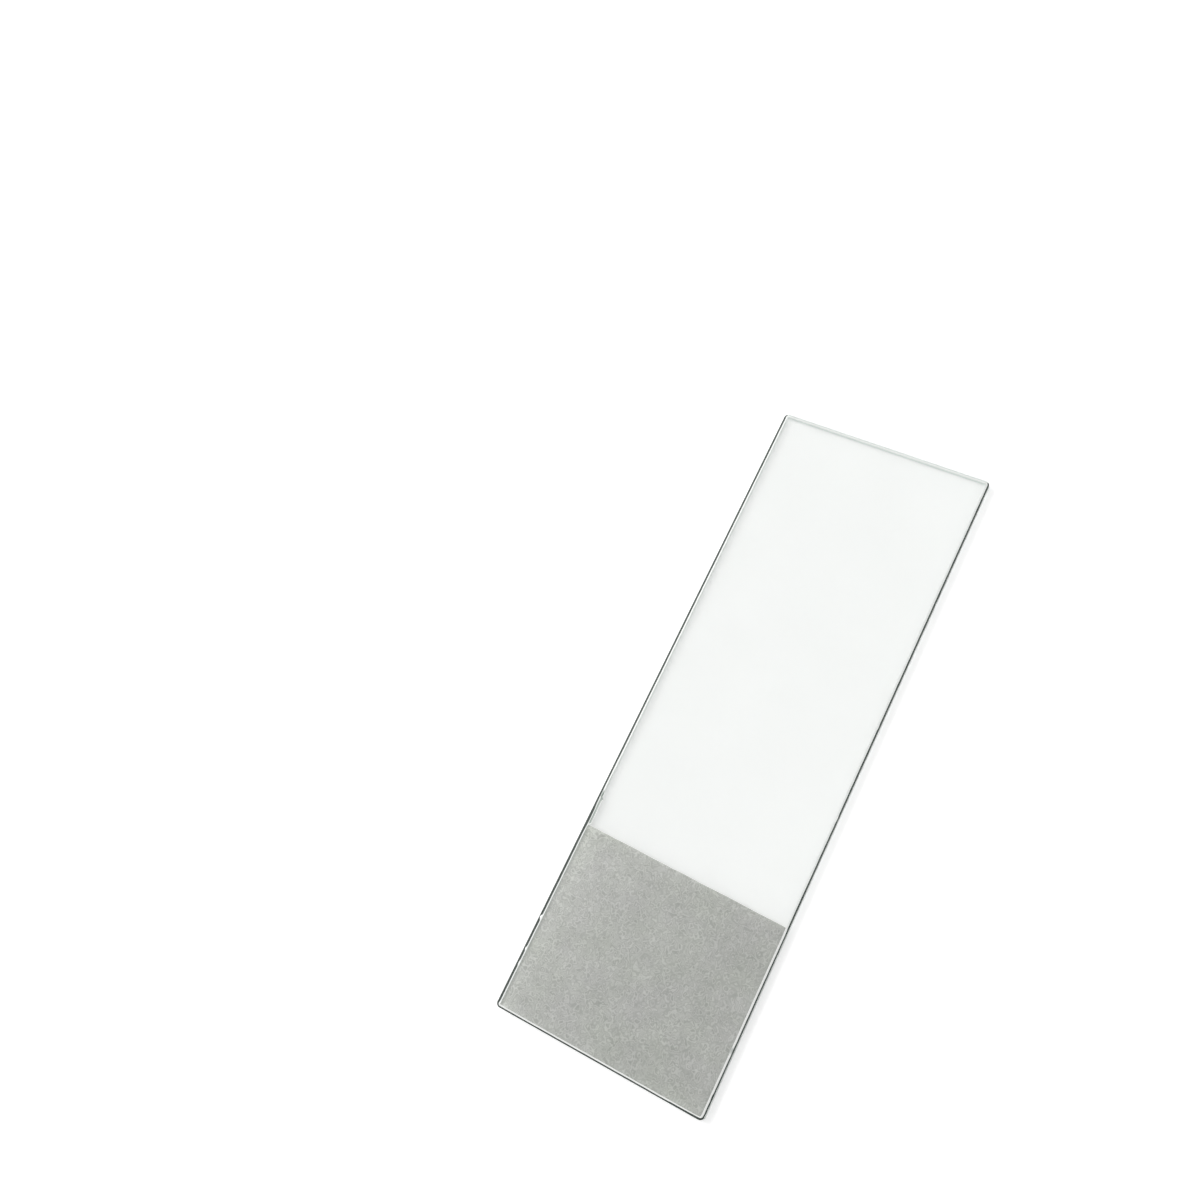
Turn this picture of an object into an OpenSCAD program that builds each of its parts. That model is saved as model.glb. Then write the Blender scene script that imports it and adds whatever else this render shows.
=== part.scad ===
// Microscope slide: one flat pane of clear glass with ground edges and one frosted end.
// It lies flat on its underside. +X runs along the slide, away from the frosted end,
// +Z is up, and the origin is the middle of the underside.

/* [Glass] */
// Length of the slide, end to end
slide_length = 76.2; // [50:0.1:110]
// Width of the slide, edge to edge
slide_width = 25.4; // [18:0.1:60]
// Thickness of the glass
glass_thickness = 1.1; // [0.9:0.05:2]

/* [Ground edges] */
// Radius of the four corners, seen from above
corner_radius = 0.5; // [0.45:0.05:3]
// Width of the ground bevel, measured across the face
bevel_width = 0.35; // [0.1:0.05:0.4]
// Height of the ground bevel, measured down the edge
bevel_height = 0.2; // [0.1:0.05:0.4]

/* [Frosted end] */
// Length of the frosted panel along the -Y edge
frost_length_right = 21.4; // [12:0.1:35]
// Length of the frosted panel along the +Y edge
frost_length_left = 22; // [12:0.1:35]
// Depth that the frosting takes off the top face
frost_depth = 0.02; // [0.01:0.01:0.05]

/* [Nicks] */
// Radius of the ball that scoops each nick
nick_radius = 0.3; // [0.2:0.05:0.5]
// Depth of each nick, measured square to the bevel that it is in
nick_depth = 0.05; // [0.02:0.01:0.1]

/* [Hidden] */

// Faces on a full circle, for the corners and the nicks
round_faces = 96;
// Extra reach of a cutting shape past the surface that it cuts
cut_margin = 1;

half_length = slide_length / 2;
half_width = slide_width / 2;
// Half sizes of the rectangle whose corners are the centres of the four round corners
core_x = half_length - corner_radius;
core_y = half_width - corner_radius;

// Nicks in the upper bevel: distance from the frosted end, then the side, +1 left or -1 right
nicks = [[5.1, 1], [6.9, 1], [10.6, 1], [7.7, -1], [27.6, -1], [48.9, -1], [55.1, -1]];

// Section of a ground edge, from the middle of the glass out to reach, as points [out, up]
function edge_section(reach) = [
    [0, 0],
    [reach - bevel_width, 0],
    [reach, bevel_height],
    [reach, glass_thickness - bevel_height],
    [reach - bevel_width, glass_thickness],
    [0, glass_thickness]
];

// The same section on both sides of the middle
module double_section(reach) {
    polygon(edge_section(reach));
    mirror([1, 0]) polygon(edge_section(reach));
}

// Strip of the pane that reaches both long edges and stops short of the corners
module long_edges() {
    rotate([90, 0, 90])
        translate([0, 0, -core_x])
            linear_extrude(2 * core_x) double_section(half_width);
}

// Strip of the pane that reaches both ends and stops short of the corners
module short_edges() {
    rotate([90, 0, 0])
        translate([0, 0, -core_y])
            linear_extrude(2 * core_y) double_section(half_length);
}

// The four round corners, bevelled like the straight edges
module corners() {
    for (side_x = [-1, 1], side_y = [-1, 1])
        translate([side_x * core_x, side_y * core_y, 0])
            rotate_extrude($fn = round_faces) polygon(edge_section(corner_radius));
}

// The whole pane before it is frosted
module pane() {
    union() {
        long_edges();
        short_edges();
        corners();
    }
}

// The thin layer that the frosting takes off the top face, with its slightly slanting inner border
module frosting() {
    outer_end = -half_length - cut_margin;
    translate([0, 0, glass_thickness - frost_depth])
        linear_extrude(frost_depth + cut_margin)
            polygon([
                [outer_end, -half_width],
                [frost_length_right - half_length, -half_width],
                [frost_length_left - half_length, half_width],
                [outer_end, half_width]
            ]);
}

// One scooped nick: a ball that just bites into the bevel of a long edge
module nick(distance, side) {
    bevel_run = sqrt(bevel_width ^ 2 + bevel_height ^ 2);
    clear = nick_radius - nick_depth;
    middle_y = half_width - bevel_width / 2;
    middle_z = glass_thickness - bevel_height / 2;
    translate([
        distance - half_length,
        side * (middle_y + clear * bevel_height / bevel_run),
        middle_z + clear * bevel_width / bevel_run
    ])
        sphere(r = nick_radius, $fn = round_faces);
}

// The finished slide, one piece of glass
module slide() {
    color("honeydew", 0.5)
        difference() {
            pane();
            frosting();
            for (place = nicks) nick(place[0], place[1]);
        }
}

slide();
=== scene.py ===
"""The looks of a microscope slide with one frosted end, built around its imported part."""

import logging
import math
from dataclasses import dataclass, field
from enum import Enum, IntEnum

import bmesh
import bpy
from mathutils import Matrix, Vector, noise

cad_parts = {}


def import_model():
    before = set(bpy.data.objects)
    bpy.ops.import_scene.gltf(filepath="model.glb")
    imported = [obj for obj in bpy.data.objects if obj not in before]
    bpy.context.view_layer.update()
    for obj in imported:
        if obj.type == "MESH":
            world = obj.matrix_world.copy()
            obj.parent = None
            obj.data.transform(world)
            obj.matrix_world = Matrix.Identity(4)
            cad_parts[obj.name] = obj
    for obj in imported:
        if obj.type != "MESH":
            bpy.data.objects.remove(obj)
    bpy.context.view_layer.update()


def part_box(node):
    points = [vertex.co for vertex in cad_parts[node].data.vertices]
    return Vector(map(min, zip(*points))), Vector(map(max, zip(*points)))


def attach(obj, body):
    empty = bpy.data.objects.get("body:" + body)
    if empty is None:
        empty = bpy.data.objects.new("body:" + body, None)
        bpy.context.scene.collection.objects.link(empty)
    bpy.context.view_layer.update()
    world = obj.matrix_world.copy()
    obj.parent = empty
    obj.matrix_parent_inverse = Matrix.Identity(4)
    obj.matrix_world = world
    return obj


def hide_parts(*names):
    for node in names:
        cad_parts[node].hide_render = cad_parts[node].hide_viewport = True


MM = 0.001  # a millimetre in metres
FLAT = 0.5  # a level face's normal has a z past this
log = logging.getLogger("slide")

Colour = tuple[float, float, float]
Place = tuple[float, float, float]
Way = tuple[float, float, float]
Span = tuple[float, float]

WHOLE: Span = (0.0, 1.0)
AWAY: Way = (1.0, 0.0, 0.0)
LEFTWARD: Way = (0.0, 1.0, 0.0)


class Finish(IntEnum):
    """The finishes of the pane, in the order of its material slots."""

    CLEAR = 0
    FROSTED = 1
    SHOULDER = 2
    # the ground rim's outer band, coloured near black as painted shade
    RIM = 3
    WALL = 4


class Mark(Enum):
    """The names of the point attributes that the finishes read."""

    LIP = "frost_lip"
    # painted shade along the ground lines
    STAIN = "edge_stain"


class Edge(Enum):
    """The edges with marks of their own, as seen from the frosted end, and their ways outwards."""

    RIGHT = (0.0, -1.0, 0.0)
    LEFT = (0.0, 1.0, 0.0)
    FRONT = (-1.0, 0.0, 0.0)


class Line(Enum):
    """The ground lines that a chip moves, from the outside in."""

    MIDDLE = 0
    CREST = 1
    INNER = 2


def opaque(colour: Colour) -> tuple[float, float, float, float]:
    """The colour with a fourth number of 1."""
    return (*colour, 1.0)


def falloff(distance: float) -> float:
    """A smooth bump: 1 at distance 0, and 0 from distance 1 on."""
    return max(0.0, 1.0 - distance * distance) ** 2


# ---------------------------------------------------------------- shader work


class ShaderTree:
    """A short way to put nodes in a material, a world or a node group."""

    def __init__(self, tree: bpy.types.NodeTree) -> None:
        """Keeps the tree that the nodes go into."""
        self.tree = tree

    def add(self, kind: str, settings: dict | None = None, **inputs: object) -> bpy.types.Node:
        """Adds one node.

        Args:
            kind: the node's type, without the ShaderNode before it.
            settings: its own properties, such as an operation.
            inputs: values or sockets for its inputs, by name with _ for a space, or in_0 for a number.

        Returns:
            The new node.
        """
        node = self.tree.nodes.new("ShaderNode" + kind)
        for name, value in (settings or {}).items():
            setattr(node, name, value)
        for name, value in inputs.items():
            key = int(name[3:]) if name.startswith("in_") else name.replace("_", " ")
            if isinstance(value, bpy.types.NodeSocket):
                self.tree.links.new(value, node.inputs[key])
            else:
                node.inputs[key].default_value = value
        return node

    def maths(self, operation: str, *values: object, clamp: bool = False) -> bpy.types.NodeSocket:
        """Adds a Math node on up to three values or sockets and returns its output."""
        inputs = {f"in_{i}": value for i, value in enumerate(values)}
        return self.add("Math", {"operation": operation, "use_clamp": clamp}, **inputs).outputs[0]

    def spread(self, value: object, source: Span, result: Span) -> bpy.types.NodeSocket:
        """Maps a value from one span to another, held inside it."""
        return self.add(
            "MapRange",
            Value=value,
            From_Min=source[0],
            From_Max=source[1],
            To_Min=result[0],
            To_Max=result[1],
        ).outputs["Result"]

    def blend(self, factor: object, first: object, second: object) -> bpy.types.NodeSocket:
        """Mixes two colours or sockets and returns the colour output."""
        node = self.add("Mix", {"data_type": "RGBA"}, in_0=factor, in_6=first, in_7=second)
        return node.outputs[2]

    def multiply(self, colour: bpy.types.NodeSocket, factor: bpy.types.NodeSocket) -> bpy.types.NodeSocket:
        """Multiplies a colour by another colour or by a number's socket."""
        return self.add("VectorMath", {"operation": "MULTIPLY"}, in_0=colour, in_1=factor).outputs[0]

    def place(self) -> bpy.types.NodeSocket:
        """The piece's own coordinates, in metres."""
        return self.add("TexCoord").outputs["Object"]

    def along(self, place: bpy.types.NodeSocket, way: Way) -> bpy.types.NodeSocket:
        """How far a place lies along a direction."""
        return self.add("VectorMath", {"operation": "DOT_PRODUCT"}, in_0=place, in_1=way).outputs["Value"]

    def group(self, tree: bpy.types.NodeTree, **inputs: object) -> bpy.types.Node:
        """Adds a node group.

        Args:
            tree: the group.
            inputs: values or sockets for its inputs, by name with _ for a space.

        Returns:
            The group's node.
        """
        node = self.add("Group", {"node_tree": tree})
        for name, value in inputs.items():
            if isinstance(value, bpy.types.NodeSocket):
                self.tree.links.new(value, node.inputs[name.replace("_", " ")])
            else:
                node.inputs[name.replace("_", " ")].default_value = value
        return node


class EffectGroups:
    """The effects that more than one finish uses, each built once.

    The mottle's and the specks' densities are shares of the grain's own. The levels are the part of
    a noise's range that is used.
    """

    CURL_BEND = 0.3
    CURL_RADIANS = 24.0
    CURL_LEVELS: Span = (0.35, 0.6)
    CURL_STRENGTH: Span = (0.2, 0.5)
    MOTTLE_DENSITY = 0.6
    MOTTLE_LEVELS: Span = (0.25, 0.75)
    MOTTLE: Span = (-0.19, 0.19)
    SPECK_DENSITY = 5.2
    NOISE_LEVELS: Span = (0.3, 0.7)

    def __init__(self) -> None:
        """Builds the groups."""
        self.grain = self._grain()
        self.cloud = self._cloud()

    @staticmethod
    def _start(
        name: str, inputs: dict[str, float | None]
    ) -> tuple[ShaderTree, bpy.types.Node, bpy.types.Node]:
        """Starts a group.

        Args:
            name: the group's name.
            inputs: its inputs with their usual values, None for the coordinates.

        Returns:
            The group's tree, its input node and its output node.
        """
        tree = bpy.data.node_groups.new(name, "ShaderNodeTree")
        for label, value in inputs.items():
            kind = "NodeSocketVector" if value is None else "NodeSocketFloat"
            socket = tree.interface.new_socket(label, in_out="INPUT", socket_type=kind)
            if value is not None:
                socket.default_value = value
        tree.interface.new_socket("Value", in_out="OUTPUT", socket_type="NodeSocketFloat")
        return ShaderTree(tree), tree.nodes.new("NodeGroupInput"), tree.nodes.new("NodeGroupOutput")

    def _curls(
        self, nodes: ShaderTree, place: bpy.types.NodeSocket, density: bpy.types.NodeSocket
    ) -> bpy.types.NodeSocket:
        """Draws thin curled lines along the levels of a smooth noise, fainter in places.

        Args:
            nodes: the tree to draw in.
            place: the coordinates.
            density: the noise's swells in a metre.

        Returns:
            A value of 0.5 on average, high on a line and low between two.
        """
        swell = nodes.add("TexNoise", Vector=place, Scale=density, Detail=0.0, Distortion=self.CURL_BEND)
        level = swell.outputs["Fac"]
        wave = nodes.maths("SINE", nodes.maths("MULTIPLY", level, self.CURL_RADIANS))
        strength = nodes.spread(level, self.CURL_LEVELS, self.CURL_STRENGTH)
        return nodes.maths("MULTIPLY_ADD", wave, strength, 0.5)

    def _grain(self) -> bpy.types.NodeTree:
        """Builds the grain of ground glass: curled lines, a soft mottle and finer specks.

        Returns:
            A group whose value is about 0.5 on average. Density is the curls' swells in a metre.
        """
        nodes, given, out = self._start("Ground grain", {"Place": None, "Density": 2200.0, "Specks": 0.3})
        place, density = given.outputs["Place"], given.outputs["Density"]
        coarser = nodes.maths("MULTIPLY", density, self.MOTTLE_DENSITY)
        finer = nodes.maths("MULTIPLY", density, self.SPECK_DENSITY)
        soft = nodes.add("TexNoise", Vector=place, Scale=coarser, Detail=2.0, Roughness=0.7).outputs["Fac"]
        mottle = nodes.spread(soft, self.MOTTLE_LEVELS, self.MOTTLE)
        lines = nodes.maths("ADD", self._curls(nodes, place, density), mottle)
        sharp = nodes.add("TexNoise", Vector=place, Scale=finer, Detail=2.0, Roughness=0.6).outputs["Fac"]
        speck = nodes.spread(sharp, self.NOISE_LEVELS, WHOLE)
        mixed = nodes.add("Mix", {"data_type": "FLOAT"}, in_0=given.outputs["Specks"], in_2=lines, in_3=speck)
        nodes.tree.links.new(mixed.outputs[0], out.inputs["Value"])
        return nodes.tree

    def _cloud(self) -> bpy.types.NodeTree:
        """Builds soft uneven patches.

        Returns:
            A group whose value runs from 0 to 1. Density is patches in a metre.
        """
        nodes, given, out = self._start("Soft patches", {"Place": None, "Density": 160.0})
        place, density = given.outputs["Place"], given.outputs["Density"]
        patches = nodes.add("TexNoise", Vector=place, Scale=density, Detail=3.0, Roughness=0.55)
        value = nodes.spread(patches.outputs["Fac"], self.NOISE_LEVELS, WHOLE)
        nodes.tree.links.new(value, out.inputs["Value"])
        return nodes.tree


@dataclass(frozen=True)
class ClearGlass:
    """Polished soda-lime glass: nearly colourless, with the faint film of handling."""

    tint: Colour = (0.968, 0.98, 0.97)
    smear_tint: Colour = (0.955, 0.968, 0.957)
    smear_density: float = 110.0
    film_levels: Span = (0.45, 1.0)
    film: Span = (0.0, 0.035)
    refraction: float = 1.52

    def material(self, effects: EffectGroups) -> bpy.types.Material:
        """Builds the material.

        Args:
            effects: the shared effects.

        Returns:
            The material.
        """
        material, nodes, shader = start_material("clear_glass")
        smear = nodes.group(effects.cloud, Place=nodes.place(), Density=self.smear_density).outputs[0]
        body = nodes.blend(smear, opaque(self.tint), opaque(self.smear_tint))
        nodes.tree.links.new(body, shader.inputs["Base Color"])
        nodes.tree.links.new(nodes.spread(smear, self.film_levels, self.film), shader.inputs["Roughness"])
        shader.inputs["Transmission Weight"].default_value = 1.0
        shader.inputs["IOR"].default_value = self.refraction
        return material


@dataclass(frozen=True)
class PaintedLightingBand:
    """A band of the face over which the colour's strength goes from one value to another, to paint
    light or shade along an edge.

    The span is measured along way, a direction in the piece's own frame.
    """

    way: Way
    span: Span
    strength: Span


@dataclass(frozen=True)
class FrostedGlass:
    """The ground writing end: pale grey, matt, with a fine curled grain.

    Its colour is painted lighter towards the left edge, where the light falls. Its margins are painted
    light and shade, in order: painted light and painted shade along the left edge, painted shade along
    the right edge, and painted light along the front edge and along the border, which slants.
    """

    valley: Colour = (0.3145, 0.3255, 0.2995)
    ridge: Colour = (0.5315, 0.5435, 0.5105)
    lip: Colour = (0.76, 0.772, 0.74)
    grain_density: float = 2350.0
    specks: float = 0.2
    cloud_density: float = 420.0
    cloud_depth: float = 0.055
    drift_density: float = 260.0
    cool: Colour = (1.0, 0.986, 1.012)
    warm: Colour = (0.993, 1.007, 0.985)
    # Painted light: the frosting's colour grows lighter towards its left edge, where the light falls.
    paling_way: Way = (0.3, 1.0, 0.0)
    paling_span: Span = (-21.0 * MM, 4.5 * MM)
    paling: Span = (0.945, 1.16)
    paling_curve: float = 2.4
    # Painted light and shade in bands along the edges: the pale bands stand for light that the ground edges
    # throw into the frosting, the dark ones for shade along the long edges.
    margins: tuple[PaintedLightingBand, ...] = (
        PaintedLightingBand(LEFTWARD, (9.2 * MM, 11.4 * MM), (1.0, 1.075)),
        PaintedLightingBand(LEFTWARD, (11.8 * MM, 12.25 * MM), (1.0, 0.67)),
        PaintedLightingBand(LEFTWARD, (-12.35 * MM, -12.05 * MM), (0.9, 1.0)),
        PaintedLightingBand(AWAY, (-37.9 * MM, -36.7 * MM), (1.1, 1.0)),
        PaintedLightingBand((1.0, -0.024, 0.0), (-17.8 * MM, -16.8 * MM), (1.0, 1.04)),
    )
    lip_reach: float = 0.3
    roughness: Span = (0.42, 0.56)
    relief: float = 0.006 * MM
    through: float = 0.25
    refraction: float = 1.52

    def material(self, effects: EffectGroups) -> bpy.types.Material:
        """Builds the material.

        Args:
            effects: the shared effects.

        Returns:
            The material.
        """
        material, nodes, shader = start_material("frosted_glass")
        place = nodes.place()
        ground = nodes.group(effects.grain, Place=place, Density=self.grain_density, Specks=self.specks)
        grain = ground.outputs[0]
        cloud = nodes.group(effects.cloud, Place=place, Density=self.cloud_density).outputs[0]
        patchy = nodes.spread(cloud, WHOLE, (1.0 - self.cloud_depth, 1.0 + self.cloud_depth))
        # painted light: the colour grows lighter towards the left edge
        towards_light = nodes.spread(nodes.along(place, self.paling_way), self.paling_span, WHOLE)
        pale = nodes.spread(nodes.maths("POWER", towards_light, self.paling_curve), WHOLE, self.paling)
        body = nodes.blend(grain, opaque(self.valley), opaque(self.ridge))
        body = nodes.multiply(body, nodes.maths("MULTIPLY", patchy, pale))
        # painted light and shade in bands along the edges
        for margin in self.margins:
            along = nodes.along(place, margin.way)
            body = nodes.multiply(body, nodes.spread(along, margin.span, margin.strength))
        drift = nodes.group(effects.cloud, Place=place, Density=self.drift_density).outputs[0]
        body = nodes.multiply(body, nodes.blend(drift, opaque(self.cool), opaque(self.warm)))
        mark = nodes.add("Attribute", {"attribute_name": Mark.LIP.value}).outputs["Fac"]
        lip = nodes.spread(mark, (0.0, self.lip_reach), WHOLE)
        nodes.tree.links.new(nodes.blend(lip, body, opaque(self.lip)), shader.inputs["Base Color"])
        nodes.tree.links.new(nodes.spread(grain, WHOLE, self.roughness), shader.inputs["Roughness"])
        bump = nodes.add("Bump", Height=grain, Distance=self.relief, Strength=1.0)
        nodes.tree.links.new(bump.outputs["Normal"], shader.inputs["Normal"])
        shader.inputs["Transmission Weight"].default_value = self.through
        shader.inputs["IOR"].default_value = self.refraction
        return material


@dataclass(frozen=True)
class GroundGlass:
    """A ground edge of satin glass."""

    name: str
    dull: Colour
    bright: Colour
    through: float
    # the colour of painted shade along the ground lines, if any
    stain: Colour | None = None
    gloss: float = 0.5
    roughness: Span = (0.34, 0.5)
    grain_density: float = 2100.0
    specks: float = 0.6
    relief: float = 0.003 * MM
    refraction: float = 1.52

    def material(self, effects: EffectGroups) -> bpy.types.Material:
        """Builds the material.

        Args:
            effects: the shared effects.

        Returns:
            The material.
        """
        material, nodes, shader = start_material(self.name)
        place = nodes.place()
        ground = nodes.group(effects.grain, Place=place, Density=self.grain_density, Specks=self.specks)
        grain = ground.outputs[0]
        body = nodes.blend(grain, opaque(self.dull), opaque(self.bright))
        # painted shade along the ground lines, where the point attribute marks it
        if self.stain is not None:
            mark = nodes.add("Attribute", {"attribute_name": Mark.STAIN.value}).outputs["Fac"]
            body = nodes.blend(mark, body, opaque(self.stain))
        nodes.tree.links.new(body, shader.inputs["Base Color"])
        nodes.tree.links.new(nodes.spread(grain, WHOLE, self.roughness), shader.inputs["Roughness"])
        bump = nodes.add("Bump", Height=grain, Distance=self.relief, Strength=1.0)
        nodes.tree.links.new(bump.outputs["Normal"], shader.inputs["Normal"])
        shader.inputs["Specular IOR Level"].default_value = self.gloss
        shader.inputs["Transmission Weight"].default_value = self.through
        shader.inputs["IOR"].default_value = self.refraction
        return material


PALE_SHOULDER = GroundGlass(
    name="ground_shoulder",
    dull=(0.92, 0.94, 0.915),
    bright=(0.975, 0.985, 0.97),
    through=0.1,
    # dark green painted shade for the chips and the edge's foot
    stain=(0.08, 0.135, 0.10),
)
# The outer band's near-black colour and low gloss are painted shade: the dark outline that shade and
# refraction give the ground rim.
SHADED_RIM = GroundGlass(
    name="ground_rim_painted_shade", dull=(0.025, 0.035, 0.03), bright=(0.06, 0.075, 0.066), through=0.1, gloss=0.15
)
PLAIN_WALL = GroundGlass(
    name="ground_wall", dull=(0.83, 0.91, 0.865), bright=(0.93, 0.985, 0.955), through=0.66
)


def start_material(name: str) -> tuple[bpy.types.Material, ShaderTree, bpy.types.Node]:
    """Starts a material.

    Args:
        name: the material's name.

    Returns:
        The material, its node tree and its Principled shader.
    """
    material = bpy.data.materials.new(name)
    material.use_nodes = True
    return material, ShaderTree(material.node_tree), material.node_tree.nodes["Principled BSDF"]


# ---------------------------------------------------------------- the pane


@dataclass(frozen=True)
class Chip:
    """A chip, a bulge or a band of painted shade on an edge's ground lines.

    Distances run from the frosted end, and on the front edge from the right edge. The chip is full
    for flat to each side of at, and dies out over reach. It narrows the outer band by spread, takes
    the flat's border in by bite and the shoulder's crest by a share of that. Its painted shade, which
    stands in for the dark that the glass shows at chips and along the edge, lies along the crest
    (seam), along the flat's border (foot) or over the whole width (dull).
    """

    edge: Edge
    at: float
    reach: float
    flat: float = 0.0
    spread: float = 0.0
    bite: float = 0.0
    crest_share: float = 0.5
    seam: float = 0.0
    foot: float = 0.0
    dull: float = 0.0

    def share(self, place: Vector, outward: Vector) -> float:
        """How much of the chip reaches a point of the rim.

        Args:
            place: the point, seen from the corner of the front and the right edge.
            outward: the level direction out of the pane there.

        Returns:
            A share from 0 to 1, which dies out round the corners.
        """
        along = place.y if self.edge is Edge.FRONT else place.x
        facing = max(0.0, outward.dot(Vector(self.edge.value)))
        return facing**2 * falloff(max(0.0, abs(along - self.at) - self.flat) / self.reach)

    def inward(self, line: Line) -> float:
        """How far the chip moves a ground line away from the edge."""
        moves = {Line.MIDDLE: -self.spread, Line.CREST: self.bite * self.crest_share, Line.INNER: self.bite}
        return moves[line]

    def staining(self, line: Line) -> float:
        """How strongly the chip lays painted shade on a ground line."""
        own = {Line.MIDDLE: 0.0, Line.CREST: self.seam, Line.INNER: self.foot}
        return max(self.dull, own[line])


@dataclass(frozen=True)
class RimShape:
    """The ground rim's section: an outer band, a shoulder and a fine heel up to the flat.

    The depths are those of the outer ends of the three, below the flat.
    """

    outer_run: float = 0.16 * MM
    outer_depth: float = 0.17 * MM
    shoulder_run: float = 0.15 * MM
    shoulder_depth: float = 0.10 * MM
    heel_run: float = 0.04 * MM
    heel_depth: float = 0.02 * MM
    step: float = 0.12 * MM
    unevenness: float = 0.012 * MM
    wave_lengths: tuple[float, ...] = (0.9 * MM, 4.0 * MM)


@dataclass(frozen=True)
class FrostShape:
    """Where the frosting ends on each long edge, how deep it is cut and how its border wanders.

    The border keeps straight within margin of the long edges.
    """

    right_length: float = 21.4 * MM
    left_length: float = 22.0 * MM
    depth: float = 0.02 * MM
    lip_width: float = 0.1 * MM
    margin: float = 0.7 * MM
    border_steps: int = 170
    wander: float = 0.065 * MM
    wander_length: float = 1.9 * MM
    wander_seed: Place = (3.1, 0.0, 0.4)
    ripple: float = 0.035 * MM
    ripple_length: float = 0.55 * MM
    ripple_seed: Place = (7.7, 0.0, 1.2)


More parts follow.
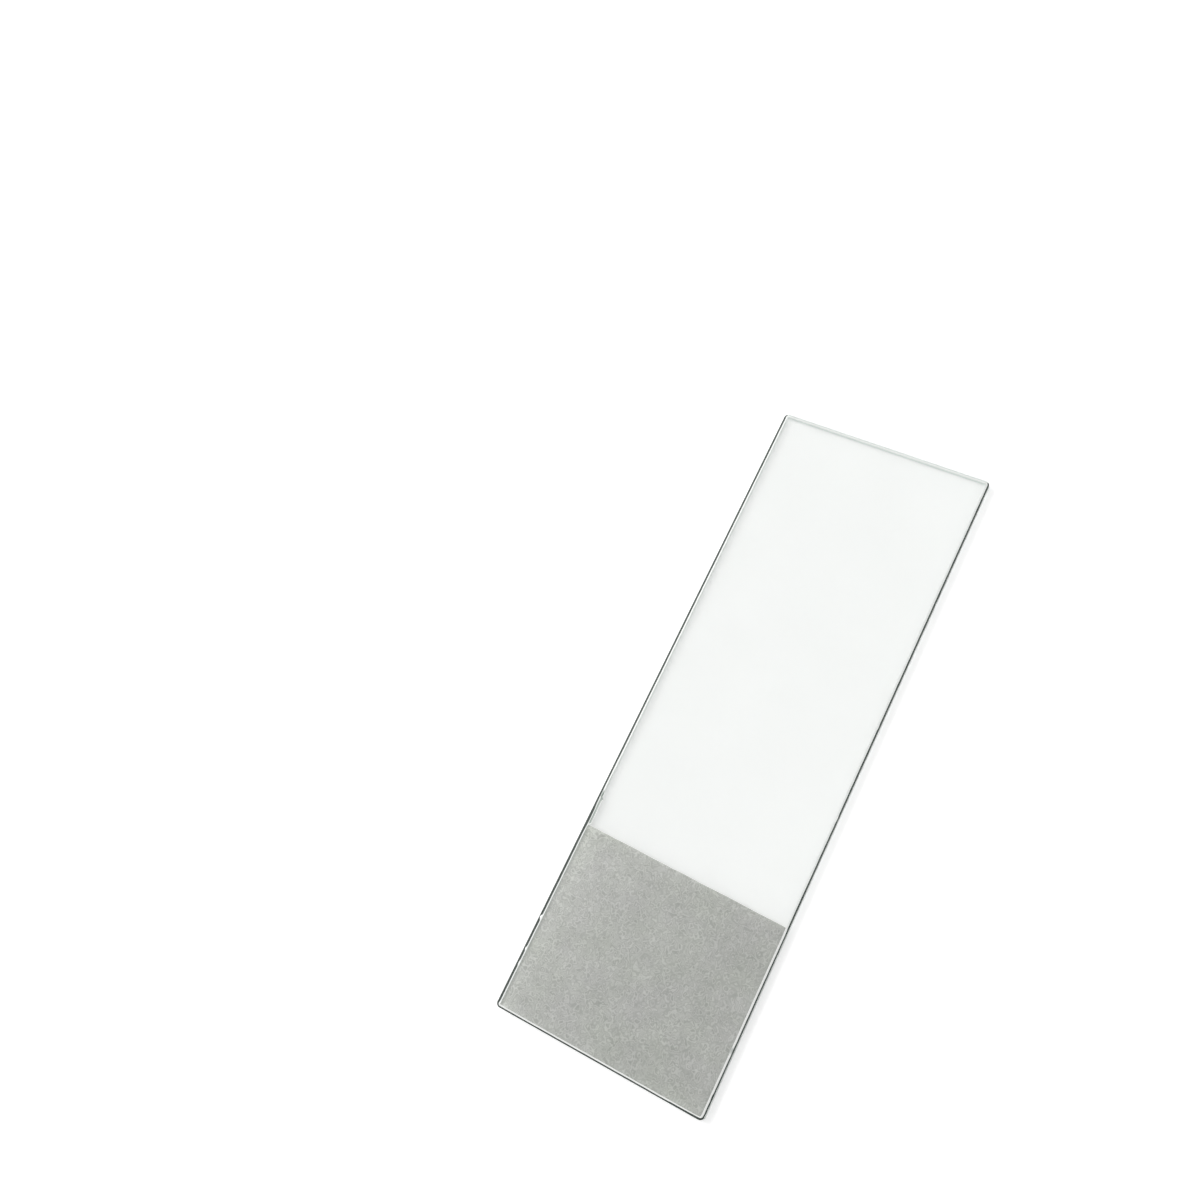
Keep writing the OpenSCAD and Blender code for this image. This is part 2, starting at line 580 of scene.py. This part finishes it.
@dataclass
class GlassPane:
    """The slide itself: one pane with ground edges and a frosted end."""

    low: Vector
    high: Vector
    corner_radius: float = 0.5 * MM
    corner_steps: int = 10
    crisp_angle: float = math.radians(18.0)
    measure_slack: float = 0.1 * MM
    cut_slack: float = 0.001 * MM
    rim: RimShape = field(default_factory=RimShape)
    frost: FrostShape = field(default_factory=FrostShape)
    chips: tuple[Chip, ...] = (
        Chip(Edge.FRONT, 12.7 * MM, 0.6 * MM, 11.5 * MM, bite=-0.02 * MM),
        Chip(Edge.FRONT, 1.7 * MM, 0.6 * MM, 1.9 * MM, spread=-0.03 * MM),
        Chip(Edge.FRONT, 0.5 * MM, 1.2 * MM, spread=-0.03 * MM),
        Chip(Edge.LEFT, 38.1 * MM, 1.0 * MM, 37.2 * MM, spread=-0.08 * MM, bite=0.09 * MM),
        Chip(Edge.LEFT, 12.2 * MM, 0.9 * MM, 11.3 * MM, spread=-0.05 * MM, bite=0.035 * MM),
        Chip(Edge.LEFT, 11.2 * MM, 0.3 * MM, 10.4 * MM, foot=0.5),
        Chip(Edge.LEFT, 22.9 * MM, 1.6 * MM, 0.6 * MM, spread=-0.035 * MM),
        Chip(Edge.RIGHT, 10.9 * MM, 0.3 * MM, 10.1 * MM, spread=0.03 * MM, foot=0.4),
        Chip(Edge.LEFT, 5.15 * MM, 0.3 * MM, 0.1 * MM, spread=0.06 * MM),
        Chip(Edge.LEFT, 6.85 * MM, 0.3 * MM, spread=0.11 * MM),
        Chip(Edge.LEFT, 10.6 * MM, 0.32 * MM, 0.03 * MM, spread=0.18 * MM),
        Chip(Edge.LEFT, 23.7 * MM, 0.2 * MM, 1.5 * MM, bite=0.27 * MM, seam=0.9),
        Chip(Edge.LEFT, 25.6 * MM, 0.6 * MM, 0.15 * MM, bite=0.07 * MM, seam=1.0, foot=0.8),
        Chip(Edge.LEFT, 27.6 * MM, 1.3 * MM, 0.3 * MM, bite=0.05 * MM, foot=0.8),
        Chip(Edge.RIGHT, 2.6 * MM, 0.5 * MM, spread=-0.04 * MM),
        Chip(Edge.RIGHT, 7.65 * MM, 0.35 * MM, 0.1 * MM, dull=0.45),
        Chip(Edge.RIGHT, 26.9 * MM, 0.8 * MM, bite=0.07 * MM),
        Chip(Edge.RIGHT, 34.1 * MM, 0.6 * MM, spread=0.03 * MM, bite=0.03 * MM),
        Chip(Edge.RIGHT, 42.3 * MM, 0.5 * MM, bite=0.04 * MM),
        Chip(Edge.RIGHT, 45.1 * MM, 0.5 * MM, spread=0.03 * MM, bite=0.03 * MM),
        Chip(Edge.RIGHT, 48.9 * MM, 0.35 * MM, bite=0.14 * MM),
        Chip(Edge.RIGHT, 55.1 * MM, 0.3 * MM, bite=0.14 * MM),
    )

    def build(self, materials: list[bpy.types.Material]) -> bpy.types.Object:
        """Builds the pane.

        Args:
            materials: one for each Finish, in its order.

        Returns:
            The finished object, at the origin.
        """
        bm = bmesh.new()
        lip = bm.verts.layers.float.new(Mark.LIP.value)
        # a layer for the painted shade along the ground lines
        stain = bm.verts.layers.float.new(Mark.STAIN.value)
        self._blank(bm)
        for facing in (1.0, -1.0):
            self._grind_rim(bm, facing, stain)
        self._cut_frosting(bm, lip)
        self._close(bm)
        self._shade(bm)
        mesh = bpy.data.meshes.new("slide_glass")
        bm.to_mesh(mesh)
        bm.free()
        for material in materials:
            mesh.materials.append(material)
        pane = bpy.data.objects.new("slide_glass", mesh)
        bpy.context.scene.collection.objects.link(pane)
        return pane

    def _blank(self, bm: bmesh.types.BMesh) -> None:
        """Makes the rectangular blank with rounded corners and a fine step along its rims.

        Args:
            bm: the mesh, empty so far.
        """
        size = self.high - self.low
        shape = Matrix.Translation((self.low + self.high) / 2) @ Matrix.Diagonal((*size, 1.0))
        bmesh.ops.create_cube(bm, size=1.0, matrix=shape)
        upright = [e for e in bm.edges if abs(e.verts[0].co.z - e.verts[1].co.z) > size.z / 2]
        bmesh.ops.bevel(
            bm,
            geom=upright,
            offset=self.corner_radius,
            offset_type="OFFSET",
            segments=self.corner_steps,
            profile=0.5,
            affect="EDGES",
            material=-1,
        )
        flats = [f for f in bm.faces if abs(f.normal.z) > FLAT]
        bmesh.ops.delete(bm, geom=flats, context="FACES_ONLY")
        for length in (size.x, size.y):
            straight = length - 2 * self.corner_radius
            edges = [e for e in bm.edges if abs(e.calc_length() - straight) < self.measure_slack]
            cuts = round(straight / self.rim.step) - 1
            bmesh.ops.subdivide_edges(bm, edges=edges, cuts=cuts, use_grid_fill=True)
        bmesh.ops.edgeloop_fill(bm, edges=[e for e in bm.edges if e.is_boundary])
        bmesh.ops.recalc_face_normals(bm, faces=bm.faces)
        for face in bm.faces:
            face.material_index = Finish.CLEAR if abs(face.normal.z) > FLAT else Finish.WALL

    def _grind_rim(self, bm: bmesh.types.BMesh, facing: float, stain: bmesh.types.BMLayerItem) -> None:
        """Grinds the rim of the top or the bottom.

        Args:
            bm: the mesh.
            facing: 1 for the top and -1 for the bottom.
            stain: the layer that marks where painted shade darkens the shoulder.
        """
        flat = max((f for f in bm.faces if f.normal.z * facing > FLAT), key=lambda f: f.calc_area())
        loops = []
        for run, finish in (
            (self.rim.outer_run, Finish.RIM),
            (self.rim.shoulder_run, Finish.SHOULDER),
            (self.rim.heel_run, Finish.SHOULDER),
        ):
            made = bmesh.ops.inset_region(
                bm, faces=[flat], thickness=run, use_boundary=True, use_even_offset=True
            )
            for face in made["faces"]:
                far = face.calc_center_median().x > self.high.x - run
                face.material_index = Finish.WALL if far or facing < 0 else finish
            ring = {vert for face in made["faces"] for vert in face.verts}
            loops.append(list(ring - set(flat.verts)))
        loops.append(list(flat.verts))
        depths = (self.rim.outer_depth, self.rim.shoulder_depth, self.rim.heel_depth)
        for verts, depth in zip(loops, depths, strict=False):
            bmesh.ops.translate(bm, vec=(0.0, 0.0, -depth * facing), verts=verts)
        if facing > 0:
            self._wear(loops, stain)

    def _outward(self, point: Vector) -> Vector:
        """Finds the way out of the pane.

        Args:
            point: a point near the rim.

        Returns:
            The level direction from the pane's core to the point.
        """
        inset = Vector((self.corner_radius, self.corner_radius, 0.0))
        core_low, core_high = self.low + inset, self.high - inset
        near_x = min(max(point.x, core_low.x), core_high.x)
        near_y = min(max(point.y, core_low.y), core_high.y)
        return Vector((point.x - near_x, point.y - near_y, 0.0)).normalized()

    def _wear(self, loops: list[list[bmesh.types.BMVert]], stain: bmesh.types.BMLayerItem) -> None:
        """Makes the ground lines of the top slightly uneven, and works the chips and their painted shade into
        them.

        Args:
            loops: the rim's lines from the outside in.
            stain: the layer that marks where painted shade darkens the shoulder.
        """
        for line, verts in zip(Line, loops[1:], strict=True):
            for vert in verts:
                outward = self._outward(vert.co)
                near = [(chip, chip.share(vert.co - self.low, outward)) for chip in self.chips]
                uneven = sum(noise.noise(vert.co / length) for length in self.rim.wave_lengths)
                inward = self.rim.unevenness * uneven + sum(chip.inward(line) * share for chip, share in near)
                # painted shade from the chips, along this ground line
                vert[stain] = max(chip.staining(line) * share for chip, share in near)
                vert.co -= outward * inward

    def _border_offset(self, y: float) -> float:
        """Works out how far the frosting's border strays from its straight line.

        Args:
            y: the place along the border.

        Returns:
            The distance along x, which dies out towards the long edges.
        """
        frost, across = self.frost, Vector(LEFTWARD) * y
        slow = frost.wander * noise.noise(Vector(frost.wander_seed) + across / frost.wander_length)
        quick = frost.ripple * noise.noise(Vector(frost.ripple_seed) + across / frost.ripple_length)
        inside = min(y - self.low.y, self.high.y - y) / frost.margin - 1.0
        return (slow + quick) * min(max(inside, 0.0), 1.0)

    def _cut_frosting(self, bm: bmesh.types.BMesh, lip: bmesh.types.BMLayerItem) -> None:
        """Cuts the frosted end a little below the clear face, with a wandering border.

        Args:
            bm: the mesh.
            lip: the layer that marks the frosting's lip.
        """
        right = Vector((self.low.x + self.frost.right_length, self.low.y, self.high.z))
        left = Vector((self.low.x + self.frost.left_length, self.high.y, self.high.z))
        across = (left - right).cross(Vector((0.0, 0.0, 1.0))).normalized()
        for start in (right - across * self.frost.lip_width, right):
            self._split_top(bm, start, across)
        pieces = sorted(
            (f for f in bm.faces if f.material_index == Finish.CLEAR and f.normal.z > FLAT),
            key=lambda f: f.calc_center_median().x,
        )
        frosted, strip, _ = pieces
        for vert in strip.verts:
            vert.co.x += self._border_offset(vert.co.y)
        for vert in frosted.verts:
            vert.co.z -= self.frost.depth
        for vert in set(strip.verts) - set(frosted.verts):
            vert[lip] = 1.0
        for face in (frosted, strip):
            face.material_index = Finish.FROSTED

    def _split_top(self, bm: bmesh.types.BMesh, start: Vector, across: Vector) -> None:
        """Splits the top's largest clear flat along a line, and cuts the line into fine steps.

        Args:
            bm: the mesh.
            start: a point on the line.
            across: the level direction square to the line.
        """
        flat = max((f for f in bm.faces if f.normal.z > FLAT), key=lambda f: f.calc_area())
        made = bmesh.ops.bisect_plane(
            bm,
            geom=[flat, *flat.edges, *flat.verts],
            dist=self.cut_slack,
            plane_co=start,
            plane_no=across,
        )
        line = [e for e in made["geom_cut"] if isinstance(e, bmesh.types.BMEdge)]
        bmesh.ops.subdivide_edges(bm, edges=line, cuts=self.frost.border_steps)

    @staticmethod
    def _close(bm: bmesh.types.BMesh) -> None:
        """Splits the large flats into triangles and turns every face outwards.

        Args:
            bm: the mesh.
        """
        large = [f for f in bm.faces if len(f.verts) > 4]
        bmesh.ops.triangulate(bm, faces=large)
        bmesh.ops.recalc_face_normals(bm, faces=bm.faces)

    def _shade(self, bm: bmesh.types.BMesh) -> None:
        """Shades the ground edges smoothly, and keeps the flats flat and every change of finish crisp.

        Args:
            bm: the mesh.
        """
        for face in bm.faces:
            face.smooth = face.material_index not in (Finish.CLEAR, Finish.FROSTED)
        for edge in bm.edges:
            first, second = edge.link_faces
            same = first.material_index == second.material_index
            edge.smooth = same and edge.calc_face_angle() < self.crisp_angle


# ---------------------------------------------------------------- the studio


@dataclass(frozen=True)
class Studio:
    """A pale floor under soft, even light."""

    floor_half: float = 3.0
    floor_drop: float = 0.02 * MM
    floor_colour: Colour = (0.86, 0.86, 0.86)
    floor_lift: float = 0.40
    under_glass_lift: float = 0.53
    ambient: float = 0.66
    key_from: Place = (0.5, 3.0, 2.7)
    key_width: float = 2.2
    key_power: float = 80.0

    @staticmethod
    def _looked_at(nodes: ShaderTree) -> bpy.types.NodeSocket:
        """Tells the rays that show the background from those that gather light.

        Args:
            nodes: the tree of the floor's or the world's shader.

        Returns:
            1 for rays that show the background, straight, in a gloss or through glass, else 0.
        """
        path = nodes.add("LightPath")
        seen = nodes.maths("MAXIMUM", path.outputs["Is Camera Ray"], path.outputs["Is Glossy Ray"])
        seen = nodes.maths("MAXIMUM", seen, path.outputs["Is Transmission Ray"])
        first = nodes.maths("SUBTRACT", 1.0, path.outputs["Diffuse Depth"], clamp=True)
        return nodes.maths("MULTIPLY", seen, first)

    def build(self) -> None:
        """Builds the floor, the world and the lamp."""
        self._floor()
        self._world()
        self._key()

    def _floor(self) -> None:
        """Lays the floor, which keeps the slide's shadow and shows white where nothing shades it."""
        bm = bmesh.new()
        bmesh.ops.create_grid(bm, x_segments=1, y_segments=1, size=self.floor_half)
        bmesh.ops.translate(bm, vec=(0.0, 0.0, -self.floor_drop), verts=bm.verts)
        mesh = bpy.data.meshes.new("studio_floor")
        bm.to_mesh(mesh)
        bm.free()
        floor = bpy.data.objects.new("studio_floor", mesh)
        bpy.context.scene.collection.objects.link(floor)
        material = bpy.data.materials.new("studio_floor")
        material.use_nodes = True
        material.node_tree.nodes.clear()
        nodes = ShaderTree(material.node_tree)
        paper = nodes.add("BsdfDiffuse", Color=opaque(self.floor_colour))
        through = nodes.add("LightPath").outputs["Is Transmission Ray"]
        lift = nodes.spread(through, WHOLE, (self.floor_lift, self.under_glass_lift))
        glow = nodes.add("Emission", Strength=nodes.maths("MULTIPLY", self._looked_at(nodes), lift))
        both = nodes.add("AddShader", in_0=paper.outputs[0], in_1=glow.outputs[0])
        nodes.add("OutputMaterial", Surface=both.outputs[0])
        mesh.materials.append(material)

    def _world(self) -> None:
        """Surrounds the scene with even light and a white background."""
        world = bpy.data.worlds.new("studio")
        world.use_nodes = True
        world.node_tree.nodes.clear()
        nodes = ShaderTree(world.node_tree)
        strength = nodes.spread(self._looked_at(nodes), WHOLE, (self.ambient, 1.0))
        sky = nodes.add("Background", Color=(1.0, 1.0, 1.0, 1.0), Strength=strength)
        nodes.add("OutputWorld", Surface=sky.outputs[0])
        bpy.context.scene.world = world

    def _key(self) -> None:
        """Hangs the large soft lamp beyond the slide's left side."""
        lamp = bpy.data.lights.new("soft_key", "AREA")
        lamp.shape = "SQUARE"
        lamp.size = self.key_width
        lamp.energy = self.key_power
        key = bpy.data.objects.new("soft_key", lamp)
        key.location = self.key_from
        key.rotation_euler = (-Vector(self.key_from)).to_track_quat("-Z", "Y").to_euler()
        bpy.context.scene.collection.objects.link(key)


@dataclass(frozen=True)
class Camera:
    """The camera's place and turn, in the part's frame."""

    eye: Place = (-21.187 * MM, -32.188 * MM, 142.575 * MM)
    ahead: Way = (0.189386, 0.357976, -0.914323)
    right: Way = (0.443892, -0.861803, -0.245469)
    lens: float = 39.069
    sensor: float = 36.0

    def build(self) -> None:
        """Makes the camera and gives it to the scene."""
        data = bpy.data.cameras.new("camera")
        data.lens = self.lens
        data.sensor_width = self.sensor
        data.clip_start = 1.0 * MM
        camera = bpy.data.objects.new("camera", data)
        ahead, right = Vector(self.ahead).normalized(), Vector(self.right).normalized()
        turn = Matrix((right, right.cross(ahead), -ahead)).transposed()
        camera.matrix_world = Matrix.Translation(self.eye) @ turn.to_4x4()
        bpy.context.scene.collection.objects.link(camera)
        bpy.context.scene.camera = camera


def main() -> None:
    """Builds the slide, the studio and the camera, and reports each."""
    logging.basicConfig(level=logging.INFO, format="%(name)s: %(message)s")
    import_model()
    bpy.context.scene.view_settings.view_transform = "Standard"

    effects = EffectGroups()
    finishes = (ClearGlass(), FrostedGlass(), PALE_SHOULDER, SHADED_RIM, PLAIN_WALL)
    materials = [finish.material(effects) for finish in finishes]
    low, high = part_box("slide")
    pane = GlassPane(low, high).build(materials)
    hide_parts("slide")
    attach(pane, "root")
    log.info("%s: %d faces, %d finishes", pane.name, len(pane.data.polygons), len(pane.data.materials))

    Studio().build()
    Camera().build()
    log.info("studio and camera are in place")


if __name__ == "__main__":
    main()
